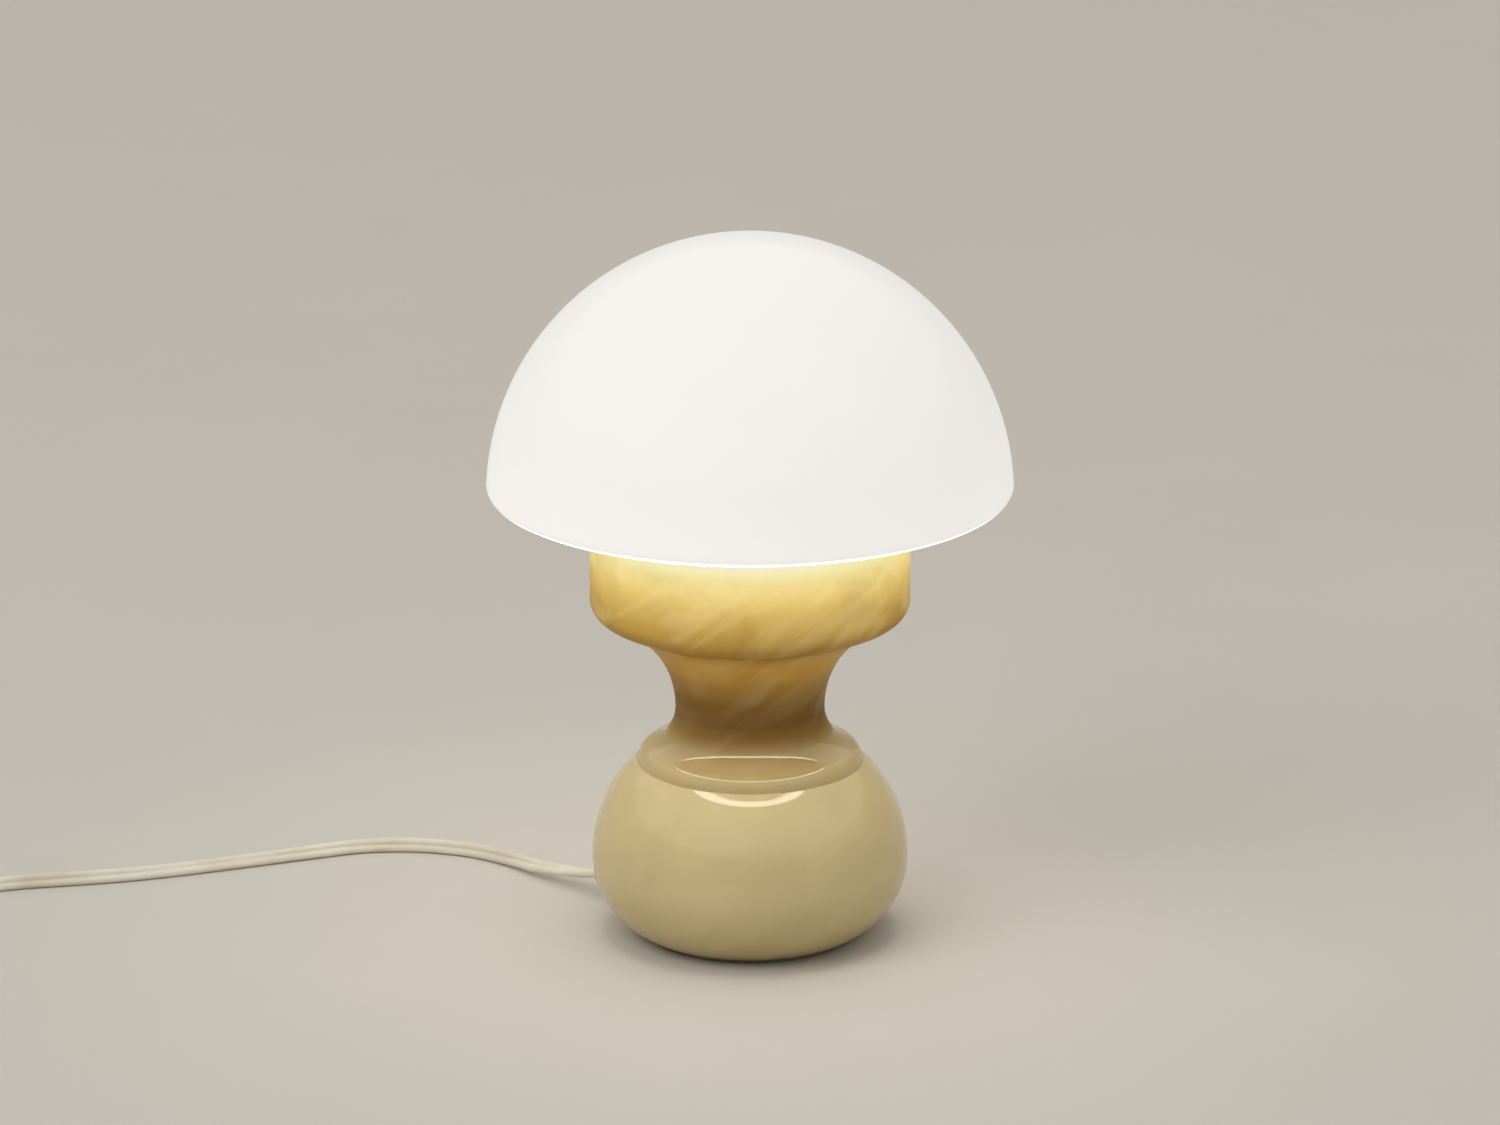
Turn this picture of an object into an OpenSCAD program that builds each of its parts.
// Mushroom table lamp: a blown opal glass shade on an alabaster base that is turned in three pieces.
// Millimetres, +Z up. The origin is the middle of the felt, on the table, and the lamp faces -Y.

/* [Glass shade] */
// Outside radius of the dome
dome_r = 100; // [90:1:112]
// Height of the dome's centre above the seat on the cup
dome_lift = 7; // [5:0.2:10]
// Radius of the turned-in edge below the dome
edge_r = 3.5; // [3.25:0.25:6]
// Slope of the underside, which is also the bevel of the cup's rim, in degrees
under_slope = 13.5; // [10:0.5:16]
// Thickness of the glass
glass_t = 2.5; // [2:0.25:3]
// Outside radius of the lip that drops into the cup
lip_r = 50; // [46:0.5:51.5]
// How far the lip reaches below the seat's outer edge
lip_drop = 11; // [8:0.5:16]
// Gap between the glass and the bevelled rim
seat_gap = 0.3; // [0.2:0.05:0.5]

/* [Alabaster cup] */
// Outside radius of the cup
cup_r = 61; // [59:0.2:64]
// Height of the cup at its outer edge
cup_h = 41.6; // [38:0.1:48]
// Thickness of the cup's wall
cup_wall = 8.8; // [6:0.2:10]
// Thickness of the cup's floor
cup_floor = 10; // [8:0.5:14]
// Rise of the cup's underside, in degrees
cup_slope = 22; // [18:0.5:28]
// Radius of the cup's lower outside corner
cup_corner = 7; // [4:0.5:8]
// Radius of the cup's lower inside corner
cup_hollow_corner = 8; // [4:0.5:12]
// Radius of the polished edge of the rim
rim_round = 1.2; // [0.6:0.2:2.4]

/* [Alabaster neck] */
// Radius at the waist
waist_r = 28.5; // [26:0.5:31]
// Radius of the hollow curve that flares from the waist to the cup
flare_r = 38; // [34:0.5:40]
// Turn of that curve between the waist and the cup, in degrees
flare_tilt = 67.5; // [62:0.5:70]
// Radius of the collar
collar_r = 42.8; // [41:0.2:43]
// Height of the collar's widest line above the body
collar_mid = 0.8; // [0.4:0.1:3]
// Radius of the collar's round edge
collar_round = 5.5; // [4:0.25:7]
// Turn of the hollow curve between the waist and the collar, in degrees
collar_tilt = 70; // [64:1:80]

/* [Alabaster body] */
// Radius at the widest line
body_r = 60.6; // [59:0.2:64]
// Height of the body
body_h = 66.7; // [63:0.1:69]
// Height of the widest line above the felt
body_mid = 28.4; // [25:0.2:28.6]
// Radius of the side's round outline above the widest line
body_round = 51.5; // [46:0.5:58]
// Radius of the side's round outline below the widest line
foot_round = 32; // [29:0.5:36]
// Radius of the recess underneath
recess_r = 26; // [20:0.5:32]
// Depth of the recess underneath
recess_h = 40; // [39:0.5:44]
// Radius of the felt
felt_r = 41; // [36:0.5:42]
// Thickness of the felt
felt_t = 2; // [1:0.25:4]

/* [Rod and nuts] */
// Outside radius of the hollow threaded rod
rod_r = 5; // [4.8:0.1:5.5]
// Wall of the rod
rod_wall = 1; // [0.75:0.05:1.2]
// Gap round the rod in the stones
rod_gap = 0.3; // [0.2:0.05:0.6]
// Gap round the rod in the nuts, the washers and the lampholder
thread_gap = 0.05; // [0.02:0.01:0.1]
// Width of a nut across its flats
nut_flats = 14; // [13:0.5:17]
// Thickness of a nut
nut_t = 5; // [3:0.25:6]
// Radius of a washer
washer_r = 14; // [11:0.5:18]
// Thickness of a washer
washer_t = 1.5; // [1:0.1:2.5]
// Length of rod below the lower nut
rod_tail = 3.5; // [2:0.25:4]
// Length of rod screwed into the lampholder
rod_head = 7.5; // [6:0.25:8]

/* [Lampholder] */
// Outside radius of the lampholder
holder_r = 14; // [13.5:0.25:16]
// Wall of its cap and shell
holder_wall = 2; // [1.5:0.1:2.5]
// Radius of the cap's threaded boss
boss_r = 8; // [7:0.25:9]
// Height of the boss and its inner floor
boss_h = 11; // [9:0.25:13]
// Height of the whole cap
holder_cap_h = 20; // [18:0.25:23]
// Height of the insert that carries the contacts
insert_h = 13; // [12:0.25:16]
// Height of the shell above the cap
shell_h = 26; // [25:0.25:30]
// Gap round the insert
insert_gap = 0.2; // [0.1:0.05:0.4]
// Height of the brass thread above the insert
thread_h = 19; // [16:0.25:20]
// Thickness of the brass thread
thread_t = 0.45; // [0.3:0.05:0.8]

/* [Bulb] */
// Radius of the glass globe
globe_r = 22.5; // [18:0.5:24]
// Length of the whole bulb
bulb_l = 78; // [74:0.5:86]
// Thickness of the bulb's glass
bulb_glass_t = 1; // [0.6:0.1:1.4]
// Radius of the bulb's neck
bulb_neck_r = 8.3; // [7.8:0.1:8.8]
// Radius of the bulb's screw cap
bulb_cap_r = 6.95; // [6.5:0.05:7.2]
// Running gap between the cap and the brass thread
bulb_gap = 0.1; // [0.05:0.01:0.1]
// Thickness of the cap's metal
bulb_cap_t = 0.35; // [0.25:0.05:0.5]
// Gap between the bulb's end contact and the spring leaf
tip_gap = 0.3; // [0.2:0.05:0.5]

/* [Cord] */
// Width of the flat twin flex
cord_w = 5.6; // [5:0.1:6]
// Thickness of the flat twin flex
cord_t = 3; // [2.6:0.1:3.2]
// Direction in which the flex leaves the body, in degrees from +X
exit_turn = 147; // [140:1:152]
// Height of the flex where it leaves the spot face
exit_z = 12; // [11:0.25:14]
// Droop of the cord hole towards the outside, in degrees
exit_droop = 10; // [6:0.5:12]
// How far the spot face lies inside the body's widest line
spot_inset = 11.5; // [10:0.5:13]
// Radius of the bushing's shank
bushing_r = 5; // [4.5:0.1:5.5]
// Radius of the bushing's flange
flange_r = 7; // [6.5:0.1:7.5]
// Thickness of the flange
flange_t = 2; // [1.5:0.1:3]
// Length of the bushing's tapered nose
nose_l = 21; // [20:0.5:24]
// Radius of the nose at its tip
nose_tip_r = 4; // [3.8:0.1:4.5]
// Length of the bushing's shank
shank_l = 14; // [10:0.5:18]
// Number of grooves round the nose, where it bends with the flex
nose_grooves = 5; // [3:1:6]
// Width of a groove
groove_w = 1.4; // [1:0.1:1.8]
// Depth of a groove
groove_depth = 0.6; // [0.3:0.1:0.6]
// Gap round the flex in its holes, and round the bushing
cord_gap = 0.2; // [0.1:0.05:0.4]
// Number of turns in the coil
coil_turns = 7; // [5:1:8]
// Radius of the coil's outer turn
coil_r = 37; // [35:0.5:40]
// Step from one turn to the next
coil_step = 3.8; // [3.6:0.1:4]
// Width of the tie round the coil
tie_w = 7; // [5:0.5:10]
// Thickness of the tie
tie_t = 0.8; // [0.5:0.1:1]
// Gap between the tie and the coil
tie_gap = 0.2; // [0.1:0.05:0.4]

/* [Switch] */
// Length of the in-line switch
switch_l = 60; // [56:0.5:66]
// Width of the switch
switch_w = 21; // [20:0.5:24]
// Height of the lower half
switch_base_h = 7; // [6.5:0.25:8]
// Height of the upper half
switch_cover_h = 8; // [7.5:0.25:9]
// Wall of the switch
switch_wall = 1.6; // [1.2:0.1:2]
// Radius of the rocker's ends about its pin
rocker_r = 9.2; // [8.5:0.1:10]
// Width of the rocker
rocker_w = 9; // [8:0.25:9.5]
// Radius of the rocker's pin
rocker_pin_r = 1.4; // [1.2:0.05:1.6]
// Running gap round the pin
rocker_pin_gap = 0.05; // [0.02:0.01:0.1]
// Gap round the rocker in its window
rocker_gap = 0.35; // [0.3:0.05:0.5]
// Tilt of the rocker when it is on, in degrees
rocker_tilt = 8; // [5:0.5:9]
// Radius of a screw's head
switch_head_r = 2.4; // [2.2:0.1:2.8]
// Radius of a screw's shank
switch_screw_r = 1.3; // [1:0.05:1.4]

/* [Plug] */
// Width of the plug
plug_w = 35.3; // [34:0.1:36]
// Thickness of the plug
plug_t = 13.7; // [13:0.1:14.5]
// Length of the plug's body
plug_l = 36; // [34:0.5:40]
// Width of the plug where the flex goes in
plug_tail_w = 13; // [12:0.5:16]
// Distance between the pins
pin_spacing = 19; // [18.6:0.05:19.2]
// Radius of a pin
pin_r = 2; // [1.9:0.05:2.1]
// Length of a pin outside the body
pin_l = 19; // [18:0.5:19.5]
// Length of the sleeve on a pin
sleeve_l = 10; // [9:0.25:11]
// Thickness of the sleeve
sleeve_t = 0.5; // [0.4:0.05:0.7]
// How much the sleeve's radius is smaller than the bare pin's
sleeve_step = 0.3; // [0.25:0.05:0.4]
// Depth of a pin inside the body
pin_root = 12; // [8:0.5:16]

/* [Hidden] */
$fn = 96;

// Heights of the stack, from the table up
body_z = felt_t;
neck_z = body_z + body_h;
hollow_r = (collar_r - waist_r) / (1 - cos(collar_tilt)) - collar_round;
waist_h = collar_mid + (collar_round + hollow_r) * sin(collar_tilt);
neck_h = waist_h + flare_r * sin(flare_tilt);
cup_z = neck_z + neck_h;
rim_z = cup_z + cup_h;
floor_z = cup_z + cup_floor;
ceiling_z = body_z + recess_h;
rod_low_z = ceiling_z - washer_t - nut_t - rod_tail;
holder_z = floor_z + washer_t + nut_t;
insert_z = holder_z + boss_h;
contact_z = insert_z + insert_h;
leaf_h = 3.5;
bulb_z = contact_z + leaf_h + tip_gap;

// Radii that one piece takes from another
neck_top_r = waist_r + flare_r * (1 - cos(flare_tilt));
cup_hollow_r = cup_r - cup_wall;
stone_bore_r = rod_r + rod_gap;
thread_bore_r = rod_r + thread_gap;
holder_hollow_r = holder_r - holder_wall;
spot_r = body_r - spot_inset;
pin_neck_r = pin_r - sleeve_step - sleeve_t;

// Rounds stand this little proud of the lines they run into, so that they cross and don't just touch
lap = 0.005;

// How far a cut runs past the face that it opens
past = 1;

// A point on a circle, and the direction of an angle
function polar(r, a) = [r * cos(a), r * sin(a)];
function unit(v) = v / norm(v);

// The glass shade's outline: the line of its underside, and the centre of its turned-in edge
seat = [cup_r, rim_z + seat_gap];
under_run = polar(1, under_slope);
under_up = polar(1, under_slope + 90);
dome_c = [0, rim_z + seat_gap + dome_lift];
edge_from = seat + edge_r * under_up - dome_c;
edge_along = -edge_from * under_run
    + sqrt(pow(edge_from * under_run, 2) - edge_from * edge_from + pow(dome_r - edge_r, 2));
edge_c = dome_c + edge_from + edge_along * under_run;
lip_z = rim_z - lip_drop;
far = 2 * dome_r;

// Height of the shade's underside, moved up by some thickness, at a radius
function under_z(r, up) = seat[1] + (r - cup_r) * tan(under_slope) + up / cos(under_slope);

// Everything inside the shade's surface, at some depth below the outside of the glass
module shade_fill(depth, lip_end) {
    edge_end = dome_c + (dome_r - depth) * unit(edge_c - dome_c);
    foot = edge_c - (edge_r - depth) * under_up;
    lip = [lip_r - depth, under_z(lip_r - depth, depth)];
    outline = [edge_c, foot, lip, [lip[0], lip_end], [0, lip_end]];
    difference() {
        translate(dome_c) circle(dome_r - depth);
        translate([-far, dome_c[1] - far]) square([far, 2 * far]);
        polygon(concat([edge_end + [far, 0], edge_end], outline, [[0, -far], [far, -far]]));
    }
    translate(edge_c) circle(edge_r - depth + lap);
    polygon(concat([dome_c], outline));
}

module glass_shade() {
    color("white") rotate_extrude() union() {
        difference() {
            shade_fill(0, lip_z);
            shade_fill(glass_t, lip_z - past);
        }
        translate([lip_r - glass_t / 2, lip_z]) circle(glass_t / 2 + lap);
    }
}

// The cup: a bowl with a sloping underside, round lower corner and a bevelled, polished rim
corner_c = [cup_r - cup_corner, cup_z + (cup_r - cup_corner - neck_top_r) * tan(cup_slope)
    + cup_corner / cos(cup_slope)];
rim_c = [cup_r - rim_round, under_z(cup_r - rim_round, 0) - seat_gap - rim_round / cos(under_slope)];

module alabaster_cup() {
    corner_low = corner_c + polar(cup_corner, cup_slope - 90);
    rim_top = rim_c + rim_round * under_up;
    rim_in = [cup_hollow_r, under_z(cup_hollow_r, 0) - seat_gap];
    hollow_corner_c = [cup_hollow_r - cup_hollow_corner, floor_z + cup_hollow_corner];
    color("wheat") rotate_extrude() difference() {
        union() {
            polygon([[0, cup_z], [neck_top_r, cup_z], corner_low, corner_c, [cup_r, corner_c[1]],
                [cup_r, rim_c[1]], rim_c, rim_top, rim_in, [0, rim_in[1]]]);
            translate(corner_c) circle(cup_corner);
            translate(rim_c) circle(rim_round);
        }
        translate([0, hollow_corner_c[1]]) square([cup_hollow_r, cup_h]);
        translate([0, floor_z]) square([hollow_corner_c[0], cup_h]);
        translate(hollow_corner_c) circle(cup_hollow_corner);
        translate([0, cup_z - past]) square([stone_bore_r, cup_h]);
    }
}

// The neck: a round collar, a hollow below the waist and a longer hollow flaring to the cup
collar_c = [collar_r - collar_round, collar_mid];
hollow_c = [waist_r + hollow_r, waist_h];
flare_c = [waist_r + flare_r, waist_h];

module alabaster_neck() {
    color("burlywood") translate([0, 0, neck_z]) rotate_extrude() difference() {
        union() {
            polygon([[0, 0], [collar_c[0], 0], collar_c, hollow_c, [neck_top_r, neck_h], [0, neck_h]]);
            intersection() {
                translate(collar_c) circle(collar_round);
                square([2 * collar_r, neck_h]);
            }
        }
        translate(hollow_c) circle(hollow_r + lap);
        intersection() {
            translate(flare_c) circle(flare_r + lap);
            translate([0, waist_h]) square([flare_c[0], neck_h]);
        }
        translate([0, -past]) square([stone_bore_r, neck_h + 2 * past]);
    }
}

// Places a child on the cord hole, with +Z outwards along it and 0 at the spot face
module on_cord_hole() {
    rotate([0, 0, exit_turn]) translate([spot_r, 0, exit_z]) rotate([0, 90 + exit_droop, 0]) children();
}

// The body's side in section, round about its widest line
module body_side(round_r, proud) {
    translate([body_r - round_r, body_mid]) circle(round_r + proud);
    translate([0, -2 * past]) square([body_r - round_r, 2 * body_h]);
}

// The body: a squashed ball, recessed underneath, with a sloping cord hole and its spot face
module alabaster_body() {
    hole_l = (spot_r - recess_r) / cos(exit_droop) + past;
    color("wheat") difference() {
        translate([0, 0, body_z]) rotate_extrude() difference() {
            intersection() {
                body_side(body_round, 0);
                square([2 * body_r, body_h]);
            }
            difference() {
                translate([0, -past]) square([2 * body_r, body_mid + past]);
                body_side(foot_round, lap);
            }
            translate([0, -past]) square([recess_r, recess_h + past]);
            translate([0, -past]) square([stone_bore_r, 2 * body_h]);
        }
        on_cord_hole() translate([0, 0, -hole_l]) cylinder(r = bushing_r + cord_gap, h = hole_l + past);
        on_cord_hole() cylinder(r = flange_r + cord_gap, h = body_r);
    }
}

module felt_pad() {
    color("olive") cylinder(r = felt_r, h = felt_t);
}

// The hollow rod that clamps the three stones, with a nut and a washer at each end
module threaded_rod() {
    color("silver") translate([0, 0, rod_low_z]) difference() {
        rod_l = holder_z + rod_head - rod_low_z;
        cylinder(r = rod_r, h = rod_l);
        translate([0, 0, -past]) cylinder(r = rod_r - rod_wall, h = rod_l + 2 * past);
    }
}

module bored(height) {
    difference() {
        children();
        translate([0, 0, -past]) cylinder(r = thread_bore_r, h = height + 2 * past);
    }
}

module rod_washers() {
    color("gainsboro") for (z = [ceiling_z - washer_t, floor_z])
        translate([0, 0, z]) bored(washer_t) cylinder(r = washer_r, h = washer_t);
}

module rod_nuts() {
    color("silver") for (z = [ceiling_z - washer_t - nut_t, floor_z + washer_t])
        translate([0, 0, z]) bored(nut_t)
            cylinder(r = nut_flats / 2 / cos(30), h = nut_t, $fn = 6);
}

// The lampholder: cap on the rod, insert with the contacts, outer shell and brass thread
module lampholder_cap() {
    shoulder_h = boss_h + holder_wall;
    shoulder_low_h = boss_h - 2 * holder_wall;
    seat_r = holder_hollow_r - holder_wall;
    color("ivory") translate([0, 0, holder_z]) rotate_extrude()
        polygon([[thread_bore_r, 0], [boss_r, 0], [boss_r, shoulder_low_h],
            [holder_r, shoulder_h], [holder_r, holder_cap_h], [holder_hollow_r, holder_cap_h],
            [holder_hollow_r, shoulder_h + holder_wall], [seat_r, boss_h], [thread_bore_r, boss_h]]);
}

module lampholder_insert() {
    neck_r = holder_hollow_r - holder_wall - insert_gap;
    wide_r = holder_hollow_r - insert_gap;
    wide_h = 2 * holder_wall + insert_gap;
    color("beige") translate([0, 0, insert_z]) difference() {
        rotate_extrude() polygon([[0, 0], [neck_r, 0], [neck_r, holder_wall], [wide_r, wide_h],
            [wide_r, insert_h], [0, insert_h]]);
        for (side = [-1, 1]) translate([side * screw_x, 0, insert_h - screw_l])
            cylinder(r = screw_r + thread_gap, h = screw_l + past);
    }
}

module lampholder_shell() {
    lip_h = 3;
    flange_out = 1.5;
    mouth_r = bulb_cap_r + holder_wall;
    color("ivory") translate([0, 0, holder_z + holder_cap_h]) rotate_extrude() difference() {
        union() {
            square([holder_r, shell_h]);
            translate([0, shell_h - 2 * lip_h]) square([holder_r + flange_out, lip_h]);
        }
        translate([0, -past]) square([holder_hollow_r, shell_h - lip_h + past]);
        square([mouth_r, shell_h + past]);
    }
}

thread_in_r = bulb_cap_r + bulb_gap;
thread_out_r = thread_in_r + thread_t;

module lampholder_thread() {
    color("goldenrod") translate([0, 0, contact_z]) difference() {
        cylinder(r = thread_out_r, h = thread_h);
        translate([0, 0, -past]) cylinder(r = thread_in_r, h = thread_h + 2 * past);
    }
}

// A brass leaf that springs up under the bulb
module centre_contact() {
    leaf_t = 0.8;
    leaf_w = 4;
    foot_x = 5.5;
    bend_x = 2;
    end_x = 3;
    slant = 0.5;
    color("goldenrod") translate([0, leaf_w / 2, contact_z]) rotate([90, 0, 0]) linear_extrude(leaf_w)
        polygon([[-foot_x, 0], [-bend_x, 0], [0, leaf_h - leaf_t], [end_x, leaf_h - leaf_t],
            [end_x, leaf_h], [-slant, leaf_h], [-bend_x - slant, leaf_t], [-foot_x, leaf_t]]);
}

// Terminal screws, between the brass thread and the shell
screw_r = 1;
screw_l = 6;
screw_head_r = 1.7;
screw_x = (thread_out_r + holder_hollow_r) / 2;

module terminal_screws() {
    head_h = 1.6;
    color("silver") for (side = [-1, 1]) translate([side * screw_x, 0, contact_z - screw_l]) {
        cylinder(r = screw_r, h = screw_l + head_h);
        translate([0, 0, screw_l]) cylinder(r = screw_head_r, h = head_h);
    }
}

// The bulb, measured up from its end contact
contact_h = 1.2;
contact_end_r = 2.6;
insulator_h = 3;
insulator_rim = 0.8;
screw_cap_h = 14.5;
skirt_h = 5.5;
cap_shoulder_h = 1;
bulb_neck_h = 6.5;
bulb_seat_h = contact_h + insulator_h + screw_cap_h + cap_shoulder_h;
neck_end_h = bulb_seat_h + bulb_neck_h;
globe_c = [0, bulb_l - globe_r];

// Where a line from a point below touches a circle on its outer side
function touch(c, r, p) = c + polar(r, atan2(p[1] - c[1], p[0] - c[0]) + acos(r / norm(p - c)));

module bulb_fill(depth, bottom) {
    neck = [bulb_neck_r - depth, neck_end_h];
    end = touch(globe_c, globe_r - depth, neck);
    polygon([[0, bottom], [neck[0], bottom], neck, end, globe_c]);
    intersection() {
        translate(globe_c) circle(globe_r - depth + lap);
        square([2 * globe_r, 2 * bulb_l]);
    }
}

module bulb_glass() {
    color("white") translate([0, 0, bulb_z]) rotate_extrude() difference() {
        bulb_fill(0, bulb_seat_h);
        bulb_fill(bulb_glass_t, bulb_seat_h - past);
    }
}

module bulb_cap() {
    skirt_z = contact_h + insulator_h + screw_cap_h;
    skirt_in_r = bulb_neck_r + bulb_gap;
    skirt_r = skirt_in_r + bulb_cap_t;
    floor_in_r = bulb_cap_r - bulb_cap_t;
    color("gainsboro") translate([0, 0, bulb_z]) rotate_extrude()
        polygon([[floor_in_r, skirt_z - screw_cap_h], [bulb_cap_r, skirt_z - screw_cap_h],
            [bulb_cap_r, skirt_z], [skirt_r, bulb_seat_h], [skirt_r, skirt_z + skirt_h],
            [skirt_in_r, skirt_z + skirt_h], [skirt_in_r, bulb_seat_h], [floor_in_r, bulb_seat_h]]);
}

module bulb_insulator() {
    color("dimgray") translate([0, 0, bulb_z + contact_h])
        cylinder(r1 = contact_end_r + insulator_rim, r2 = bulb_cap_r - bulb_cap_t, h = insulator_h);
}

module bulb_contact() {
    color("silver") translate([0, 0, bulb_z]) cylinder(r = contact_end_r, h = contact_h);
}

// Inside the globe: the glass stem, and the wires with the filament
stem_h = 20;
pinch_z = bulb_seat_h + stem_h;
wire_r = 0.4;
wire_x = 4;

module bulb_stem() {
    stem_r = 3;
    foot_r = bulb_neck_r - bulb_glass_t - bulb_gap;
    foot_h = 1;
    flare_top_h = 7;
    pinch_r = wire_x + 2.5 * wire_r;
    pinch_h = 2;
    pinch_low_h = 6;
    color("aliceblue") translate([0, 0, bulb_z]) rotate_extrude()
        polygon([[0, bulb_seat_h], [foot_r, bulb_seat_h], [foot_r, bulb_seat_h + foot_h],
            [stem_r, bulb_seat_h + flare_top_h], [stem_r, pinch_z - pinch_low_h],
            [pinch_r, pinch_z - pinch_h], [pinch_r, pinch_z], [0, pinch_z]]);
}

module bulb_filament() {
    wire_top = globe_c[1] - wire_x;
    color("dimgray") translate([0, 0, bulb_z]) {
        for (side = [-1, 1]) translate([side * wire_x, 0, pinch_z])
            cylinder(r = wire_r, h = wire_top - pinch_z);
        translate([0, 0, wire_top]) rotate([90, 0, 0]) rotate_extrude(angle = 180)
            translate([wire_x, 0]) circle(wire_r);
    }
}

// The flex: a flat section swept along a route. A route's points are [x, y, height over the table, tilt],
// where the tilt turns the flat section from lying (0) to standing on edge (90 or -90).
function section(n) = [for (i = [0:n - 1])
    let (a = (i + 0.5) * 360 / n, wide = n % 4 == 0 ? cos(180 / n) : 1)
    [cord_t / 2 * cos(a) / cos(180 / n), cord_w / 2 * sin(a) / wide]];
function lying_z(tilt) = max([for (q = section(8)) q[1] * sin(tilt) + q[0] * cos(tilt)]);
function between(a, b, c, d, t) = 0.5 * (2 * b + (c - a) * t + (2 * a - 5 * b + 4 * c - d) * t * t
    + (3 * b - a - 3 * c + d) * t * t * t);
function smooth(p, steps) = [for (i = [0:len(p) - 2], s = [0:steps - 1])
    between(p[max(i - 1, 0)], p[i], p[i + 1], p[min(i + 2, len(p) - 1)], s / steps), p[len(p) - 1]];
function places(route) = [for (q = route) [q[0], q[1], q[2] + lying_z(q[3])]];
function runs(p) = [for (i = [0:len(p) - 1]) unit(p[min(i + 1, len(p) - 1)] - p[max(i - 1, 0)])];
function widths(p, tilts) = let (run = runs(p)) [for (i = [0:len(p) - 1])
    let (side = unit(cross([0, 0, 1], run[i])), up = cross(run[i], side))
    side * cos(tilts[i]) + up * sin(tilts[i])];
function length_of(p, i = 1) = i == len(p) ? 0 : norm(p[i] - p[i - 1]) + length_of(p, i + 1);

// The corners of every ring along the flex
function rings(p, wide, n) = let (run = runs(p)) [for (i = [0:len(p) - 1])
    let (thick = cross(wide[i], run[i]))
    for (q = section(n)) p[i] + q[0] * thick + q[1] * wide[i]];

module flex(p, wide, n) {
    last = (len(p) - 1) * n;
    ends = [for (k = [1:n - 2]) each [[0, k, k + 1], [last, last + k + 1, last + k]]];
    sides = [for (i = [0:n:last - n], k = [0:n - 1])
        let (a = i + k, b = i + (k + 1) % n) each [[a, a + n, b], [b, a + n, b + n]]];
    polyhedron(rings(p, wide, n), concat(ends, sides));
}

module lying_flex(route) {
    p = places(route);
    flex(p, widths(p, [for (q = route) q[3]]), 8);
}

// The bushing in the cord hole: shank, flange on the spot face and a tapered nose
module slot(w, t) {
    square([w - t, t], center = true);
    for (side = [-1, 1]) translate([side * (w - t) / 2, 0]) circle(t / 2);
}

function nose_r(groove) = bushing_r - (bushing_r - nose_tip_r) * groove / (nose_grooves + 1);

module cord_bushing() {
    taper_l = nose_l - flange_t;
    groove_step = taper_l / (nose_grooves + 1);
    color("white") on_cord_hole() difference() {
        union() {
            translate([0, 0, -shank_l]) cylinder(r = bushing_r, h = shank_l + flange_t / 2);
            cylinder(r = flange_r, h = flange_t);
            translate([0, 0, flange_t]) cylinder(r1 = bushing_r, r2 = nose_tip_r, h = taper_l);
        }
        for (i = [1:nose_grooves]) translate([0, 0, flange_t + i * groove_step - groove_w / 2])
            difference() {
                cylinder(r = flange_r, h = groove_w);
                translate([0, 0, -past]) cylinder(r = nose_r(i) - groove_depth, h = groove_w + 2 * past);
            }
        translate([0, 0, -shank_l - past]) rotate([0, 0, 90]) linear_extrude(shank_l + nose_l + 2 * past)
            slot(cord_w + 2 * cord_gap, cord_t + 2 * cord_gap);
    }
}

// A point on the cord hole's axis, some distance out from the spot face
function on_hole(along) = let (r = spot_r + along * cos(exit_droop))
    [r * cos(exit_turn), r * sin(exit_turn), exit_z - along * sin(exit_droop)];

// The flex inside: in through the bushing, round a bend and up the rod to the lampholder
lead_bend_r = 13;
lead_axis_z = exit_z + spot_r * tan(exit_droop);
lead_bend = 90 - exit_droop;
lead_tangent = lead_bend_r * tan(lead_bend / 2);
lead_in = spot_r / cos(exit_droop) - lead_tangent;

module inner_lead() {
    bend_steps = 6;
    rise_steps = 4;
    straight = [for (i = [0:rise_steps]) on_hole(nose_l - (nose_l + lead_in) * i / rise_steps)];
    bend = [for (i = [1:bend_steps]) let (a = lead_bend * i / bend_steps,
            r = lead_bend_r * (1 - sin(exit_droop + a)),
            z = lead_axis_z + lead_tangent - lead_bend_r * cos(exit_droop + a))
        [r * cos(exit_turn), r * sin(exit_turn), z]];
    bend_top_z = lead_axis_z + lead_tangent;
    rise = [for (i = [1:rise_steps]) [0, 0, bend_top_z + (insert_z - bend_top_z) * i / rise_steps]];
    p = concat(straight, bend, rise);
    across = [-sin(exit_turn), cos(exit_turn), 0];
    color("whitesmoke") flex(p, [for (q = p) across], 8);
}

flat_z = lying_z(0);

// The rest of the flex is put away past there, in a frame of its own: u along the flex, w across it
stow_at = [-325, 28];
stow_turn = 214;
function stow(q) = [stow_at[0] + q[0] * cos(stow_turn) - q[1] * sin(stow_turn),
    stow_at[1] + q[0] * sin(stow_turn) + q[1] * cos(stow_turn), q[2], q[3]];
module stowed() {
    translate([stow_at[0], stow_at[1], 0]) rotate([0, 0, stow_turn]) children();
}

switch_u = 26;
switch_end_u = switch_u + switch_l;
switch_cord_z = 4.6;
switch_cord_lift = switch_cord_z - flat_z;
coil_entry_u = switch_end_u + 33;
coil_c = [coil_entry_u - coil_r, 54];
coil_low_z = tie_t + tie_gap + cord_w / 2;
coil_gap = 0.6;
coil_high_z = coil_low_z + cord_w + coil_gap;
edge_lift = coil_low_z - lying_z(90);

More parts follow.
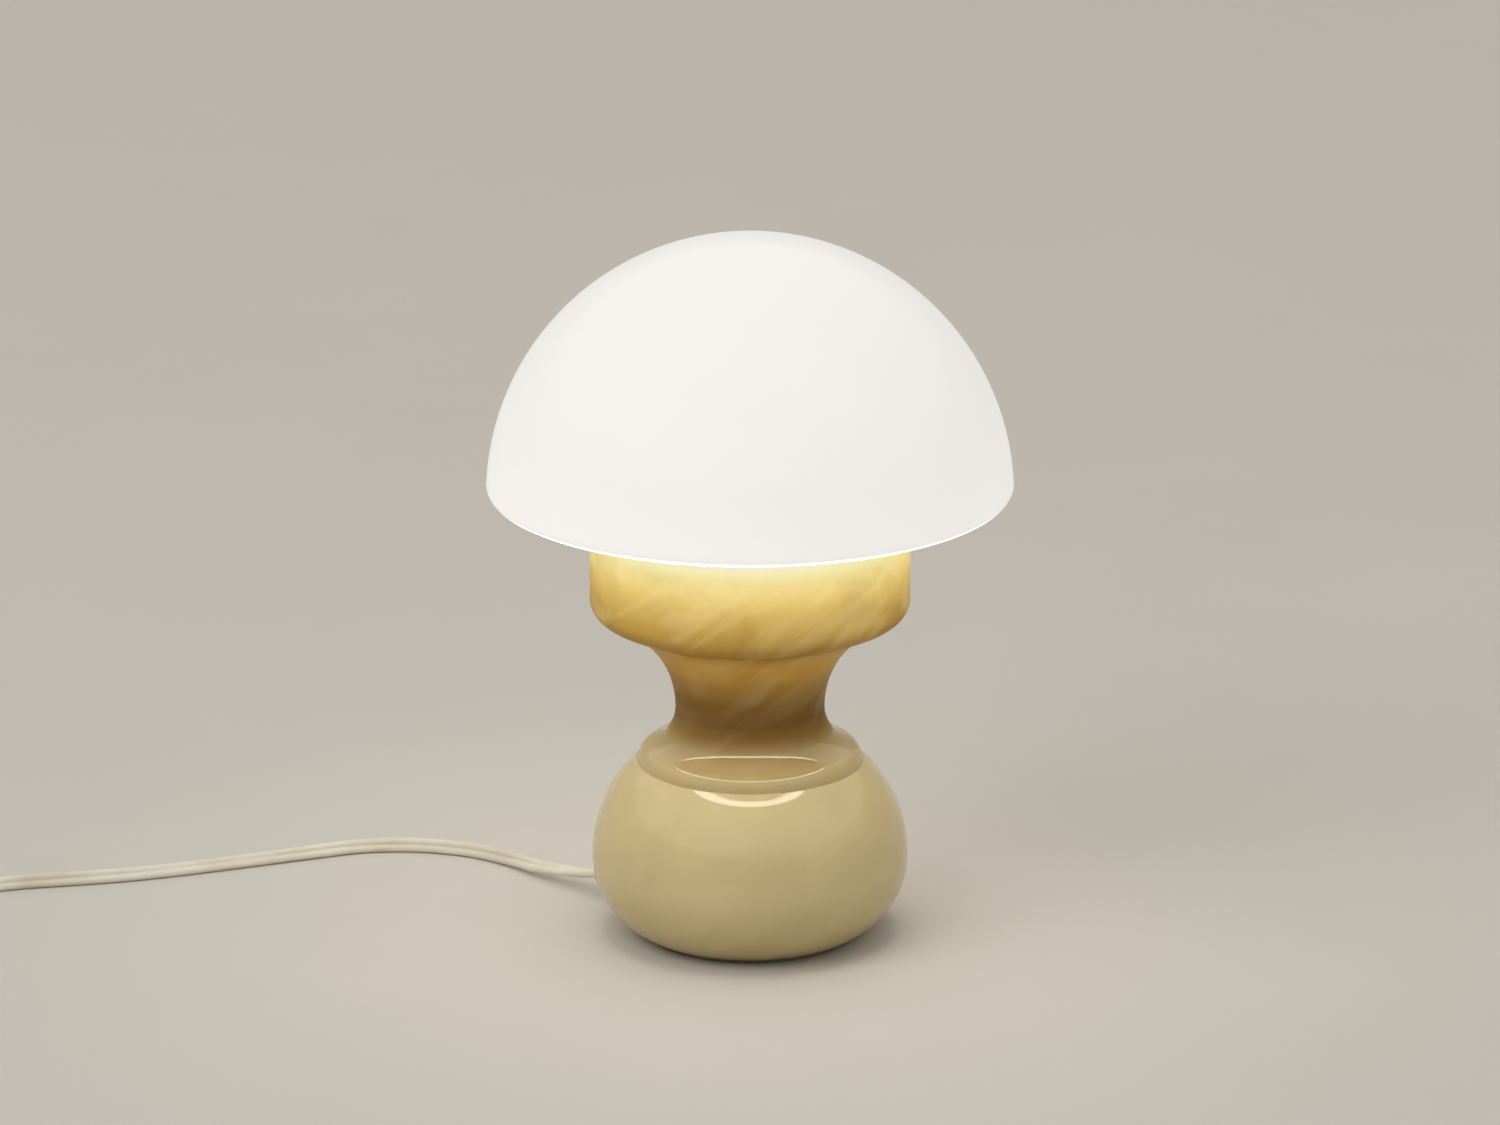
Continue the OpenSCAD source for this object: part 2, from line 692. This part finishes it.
// The flex that shows: down from the bushing, then over the table to the left in one loose curve
nose_end = on_hole(nose_l);
nose_next = on_hole(nose_l + 8);
run_route = concat([
    [nose_end[0], nose_end[1], nose_end[2] - flat_z, 0],
    [nose_next[0], nose_next[1], nose_next[2] - flat_z, 0]], [
    [-82, 57, 2, -35], [-94, 70, 0.4, -55], [-110, 81, 0.1, -65], [-131, 87, 0.1, -65],
    [-153, 86, 0.1, -60], [-176, 78, 0.1, -50], [-199, 69, 0.1, -40], [-221, 60.5, 0.1, -40],
    [-243, 53, 0.1, -50], [-264, 48, 0.1, -60], [-285, 43.5, 0.1, -65], [-306, 36.5, 0.1, -50],
    [-325, 27.5, 0.1, -30]],
    [for (q = [[12, 0, 1.5, -10], [18, 0, switch_cord_lift, 0],
        [switch_u, 0, switch_cord_lift, 0]]) stow(q)]);

link_route = let (u = switch_end_u, end = coil_entry_u)
    [for (q = [[u, 0, switch_cord_lift, 0], [u + 6, 0, switch_cord_lift, 0],
        [u + 15, 1.5, 2, 25], [u + 23, 6.5, 1, 50], [u + 29, 14.5, 1, 70], [u + 32, 24, 1, 85],
        [end, 34, edge_lift, 90], [end, 42, edge_lift, 90], [end, coil_c[1] - cord_w, edge_lift, 90]])
    stow(q)];

// The coil: in towards the middle on the lower layer, up in the half turn where it reverses, and out again
coil_rings = 24;
coil_sides = 6;
function upright_at(c, z) = let (q = stow([c[0], c[1], 0, 0])) [q[0], q[1], z];
function coil_point(t) = let (r = coil_r - coil_step * min(t, coil_turns - t),
        climb = min(max(2 * (t - coil_turns / 2) + 0.5, 0), 1))
    upright_at(coil_c + polar(r, 360 * t), coil_low_z + (coil_high_z - coil_low_z) * climb);
function coil_end(w, z) = upright_at([coil_entry_u, coil_c[1] + w], z);
coil_places = concat([coil_end(-cord_w, coil_low_z)],
    [for (i = [0:coil_turns * coil_rings]) coil_point(i / coil_rings)], [coil_end(cord_w, coil_high_z)]);

// Least distance between the corners of one turn and those of the turns after it
function coil_clear(corners, n) = min([for (i = [0:len(coil_places) - 1], k = [1:coil_turns], j = [-1:1])
    let (other = i + k * coil_rings + j) if (other < len(coil_places))
        for (a = [0:n - 1], b = [0:n - 1]) norm(corners[i * n + a] - corners[other * n + b])]);

module cord_coil() {
    upright = [for (q = coil_places) [0, 0, 1]];
    corners = rings(coil_places, upright, coil_sides);
    echo(coil_least_gap = coil_clear(corners, coil_sides), coil_length = length_of(coil_places));
    color("whitesmoke") flex(coil_places, upright, coil_sides);
}

tail_route = let (high = coil_high_z - lying_z(90), u = coil_entry_u, w = coil_c[1] + cord_w)
    [for (q = [[u, w, high, 90], [u, w + 6, high - 0.5, 85], [u + 1, w + 19, 4.5, 55],
        [u + 2, w + 32, 2.5, 20], [u + 3, w + 44, plug_t / 2 - flat_z, 0],
        [u + 3, w + 52, plug_t / 2 - flat_z, 0]]) stow(q)];

module cord_run() {
    route = smooth(run_route, 2);
    echo(run_length = length_of(places(route)));
    color("whitesmoke") lying_flex(route);
}

module cord_link() {
    echo(link_length = length_of(places(link_route)));
    color("whitesmoke") lying_flex(link_route);
}

module cord_tail() {
    route = smooth(tail_route, 2);
    echo(tail_length = length_of(places(route)));
    color("whitesmoke") lying_flex(route);
}

// A flat band round the coil's turns
module rounded(size, r) {
    translate([r, 0]) square([size[0] - 2 * r, size[1]]);
    translate([0, r]) square([size[0], size[1] - 2 * r]);
    for (x = [r, size[0] - r], y = [r, size[1] - r]) translate([x, y]) circle(r);
}

module cord_tie() {
    inner_r = coil_r - coil_step * coil_turns / 2 - cord_t / 2 - tie_gap;
    outer_r = coil_r + cord_t / 2 + tie_gap;
    tall = coil_high_z + cord_w / 2 + tie_gap - tie_t;
    bend_r = 0.5;
    color("dimgray") stowed() translate([coil_c[0], coil_c[1], 0]) rotate([0, 0, 90])
        translate([0, tie_w / 2, 0]) rotate([90, 0, 0]) linear_extrude(tie_w) difference() {
            translate([inner_r - tie_t, 0])
                rounded([outer_r - inner_r + 2 * tie_t, tall + 2 * tie_t], bend_r + tie_t);
            translate([inner_r, tie_t]) rounded([outer_r - inner_r, tall], bend_r);
        }
}

// The in-line switch, with u along it from its lamp end
module switch_place() {
    stowed() translate([switch_u + switch_l / 2, 0, 0]) children();
}

switch_corner = 6;
module switch_plan(inset) {
    translate([inset - switch_l / 2, inset - switch_w / 2])
        rounded([switch_l - 2 * inset, switch_w - 2 * inset], switch_corner - inset);
}

post_r = 2.6;
seat_r = 3.2;
switch_screw_x = switch_l / 3;
switch_screw_y = switch_w / 2 - switch_wall - seat_r - cord_gap;
switch_screw_at = [[-switch_screw_x, switch_screw_y], [switch_screw_x, -switch_screw_y]];
switch_head_h = 1.8;
switch_head_z = 0.8;
switch_pivot_h = 3.6;
switch_pivot_z = switch_base_h + switch_pivot_h;
switch_top_z = switch_base_h + switch_cover_h;

module switch_base() {
    color("white") switch_place() difference() {
        union() {
            difference() {
                linear_extrude(switch_base_h) switch_plan(0);
                translate([0, 0, switch_wall]) linear_extrude(switch_base_h) switch_plan(switch_wall);
            }
            for (at = switch_screw_at) translate([at[0], at[1], switch_wall / 2])
                cylinder(r = seat_r, h = switch_base_h - switch_wall / 2);
        }
        for (at = switch_screw_at) translate([at[0], at[1], -past]) {
            cylinder(r = switch_screw_r + cord_gap, h = switch_base_h + 2 * past);
            cylinder(r = switch_head_r + cord_gap, h = switch_head_z + switch_head_h + past);
        }
        translate([-switch_l, 0, switch_cord_z]) rotate([90, 0, 90]) linear_extrude(2 * switch_l)
            slot(cord_w + 2 * cord_gap, cord_t + 2 * cord_gap);
    }
}

module switch_cover() {
    window_l = 2 * (rocker_r + rocker_gap);
    window_w = rocker_w + 2 * rocker_gap;
    lug = [8, 2, switch_cover_h - switch_wall];
    lug_z = switch_base_h + switch_wall / 4;
    top_round = 4;
    color("white") switch_place() difference() {
        union() {
            translate([0, 0, switch_base_h]) difference() {
                intersection() {
                    linear_extrude(switch_cover_h) switch_plan(0);
                    translate([-switch_l, -switch_w / 2, -switch_corner]) rotate([90, 0, 90])
                        linear_extrude(2 * switch_l)
                            rounded([switch_w, switch_cover_h + switch_corner], top_round);
                }
                translate([0, 0, -past]) linear_extrude(switch_cover_h - switch_wall + past)
                    switch_plan(switch_wall);
            }
            for (side = [-1, 1])
                translate([-lug[0] / 2, side * (window_w + lug[1]) / 2 - lug[1] / 2, lug_z]) cube(lug);
            for (at = switch_screw_at) translate([at[0], at[1], switch_base_h])
                cylinder(r = post_r, h = switch_cover_h - switch_wall / 2);
        }
        translate([0, 0, switch_top_z]) cube([window_l, window_w, 2 * switch_wall + past], center = true);
        translate([0, 0, switch_pivot_z]) rotate([90, 0, 0])
            cylinder(r = rocker_pin_r + rocker_pin_gap, h = window_w + 4 * lug[1], center = true);
        for (at = switch_screw_at) translate([at[0], at[1], switch_base_h - past])
            cylinder(r = switch_screw_r + thread_gap, h = switch_cover_h - 2 * switch_wall + past);
    }
}

module switch_rocker() {
    pin_in_lug = 1.6;
    pin_half = rocker_w / 2 + rocker_gap + pin_in_lug;
    end_out = 1.6;
    dip = 1.4;
    end_h = switch_top_z - switch_pivot_z + end_out;
    side_h = 0.5;
    foot = [3, 2];
    color("gainsboro") switch_place() translate([0, 0, switch_pivot_z]) rotate([0, rocker_tilt, 0]) {
        rotate([90, 0, 0]) translate([0, 0, -rocker_w / 2]) linear_extrude(rocker_w) intersection() {
            circle(rocker_r);
            polygon([[-rocker_r, side_h], [-rocker_r, end_h], [0, end_h - dip], [rocker_r, end_h],
                [rocker_r, side_h], [foot[0], -foot[1]], [-foot[0], -foot[1]]]);
        }
        rotate([90, 0, 0]) cylinder(r = rocker_pin_r, h = 2 * pin_half, center = true);
    }
}

module switch_screws() {
    color("silver") switch_place() for (at = switch_screw_at) translate([at[0], at[1], switch_head_z]) {
        cylinder(r = switch_head_r, h = switch_head_h);
        cylinder(r = switch_screw_r, h = switch_top_z - 3 * switch_wall - switch_head_z);
    }
}

// Two brass terminals on the switch's floor, beside the flex
module switch_contacts() {
    block = [7, 3, 4];
    block_x = 9;
    block_y = (cord_w + block[1]) / 2 + 2 * cord_gap + block[1] / 2;
    color("goldenrod") switch_place() for (side = [-1, 1])
        translate([side * block_x - block[0] / 2, -side * block_y - block[1] / 2, switch_wall]) cube(block);
}

// The flat two-pin plug at the end of the flex
plug_u = coil_entry_u + 3;
plug_w0 = coil_c[1] + cord_w + 52;
module plug_place() {
    stowed() translate([plug_u, plug_w0, plug_t / 2]) children();
}

// Half of the plug is drawn in between the tail and the front in one hollow curve, where fingers hold it
plug_front_l = 16;
plug_corner = 2.5;
plug_side_h = 3.5;
plug_bevel = 7;
plug_tail_t = 9;
grip_run = plug_l - plug_front_l;
grip_in = (plug_w - plug_tail_w) / 2;
grip_r = (grip_in * grip_in + grip_run * grip_run) / (2 * grip_in);

module plug_plan() {
    difference() {
        translate([-plug_w / 2, -plug_corner])
            rounded([plug_w, plug_l + plug_corner], plug_corner);
        for (side = [-1, 1]) translate([side * (plug_tail_w / 2 + grip_r), 0]) circle(grip_r);
        translate([-plug_w, -plug_l]) square([2 * plug_w, plug_l]);
    }
}

module plug_body() {
    half_t = plug_t / 2;
    end_x = plug_w / 2;
    flat_x = end_x - plug_bevel;
    end_z = plug_side_h / 2;
    color("white") plug_place() difference() {
        intersection() {
            translate([0, 0, -half_t]) linear_extrude(plug_t) plug_plan();
            rotate([-90, 0, 0]) linear_extrude(plug_l)
                polygon([[-end_x, -end_z], [-flat_x, -half_t], [flat_x, -half_t], [end_x, -end_z],
                    [end_x, end_z], [flat_x, half_t], [-flat_x, half_t], [-end_x, end_z]]);
            translate([-plug_w, 0, 0]) rotate([90, 0, 90]) linear_extrude(2 * plug_w)
                polygon([[0, -plug_tail_t / 2], [grip_run, -half_t], [plug_l, -half_t],
                    [plug_l, half_t], [grip_run, half_t], [0, plug_tail_t / 2]]);
        }
        for (side = [-1, 1]) translate([side * pin_spacing / 2, plug_l - pin_root, 0])
            rotate([-90, 0, 0]) cylinder(r = pin_neck_r + thread_gap, h = pin_root + past);
    }
}

module plug_pins() {
    tip_r = 1.2;
    tip_l = 1.5;
    core_l = pin_root + sleeve_l;
    bare_l = pin_l - sleeve_l - tip_l;
    color("gold") plug_place() for (side = [-1, 1])
        translate([side * pin_spacing / 2, plug_l - pin_root, 0]) rotate([-90, 0, 0]) {
            cylinder(r = pin_neck_r, h = core_l);
            translate([0, 0, core_l]) cylinder(r = pin_r, h = bare_l);
            translate([0, 0, core_l + bare_l]) cylinder(r1 = pin_r, r2 = tip_r, h = tip_l);
        }
}

module pin_sleeves() {
    color("white") plug_place() for (side = [-1, 1])
        translate([side * pin_spacing / 2, plug_l, 0]) rotate([-90, 0, 0]) difference() {
            cylinder(r = pin_neck_r + sleeve_t, h = sleeve_l);
            translate([0, 0, -past]) cylinder(r = pin_neck_r + thread_gap, h = sleeve_l + 2 * past);
        }
}

alabaster_body();
alabaster_neck();
alabaster_cup();
felt_pad();
glass_shade();
threaded_rod();
rod_washers();
rod_nuts();
lampholder_cap();
lampholder_insert();
lampholder_shell();
lampholder_thread();
centre_contact();
terminal_screws();
bulb_glass();
bulb_stem();
bulb_filament();
bulb_cap();
bulb_insulator();
bulb_contact();
cord_bushing();
inner_lead();
cord_run();
cord_link();
cord_coil();
cord_tail();
cord_tie();
switch_base();
switch_cover();
switch_rocker();
switch_screws();
switch_contacts();
plug_body();
plug_pins();
pin_sleeves();
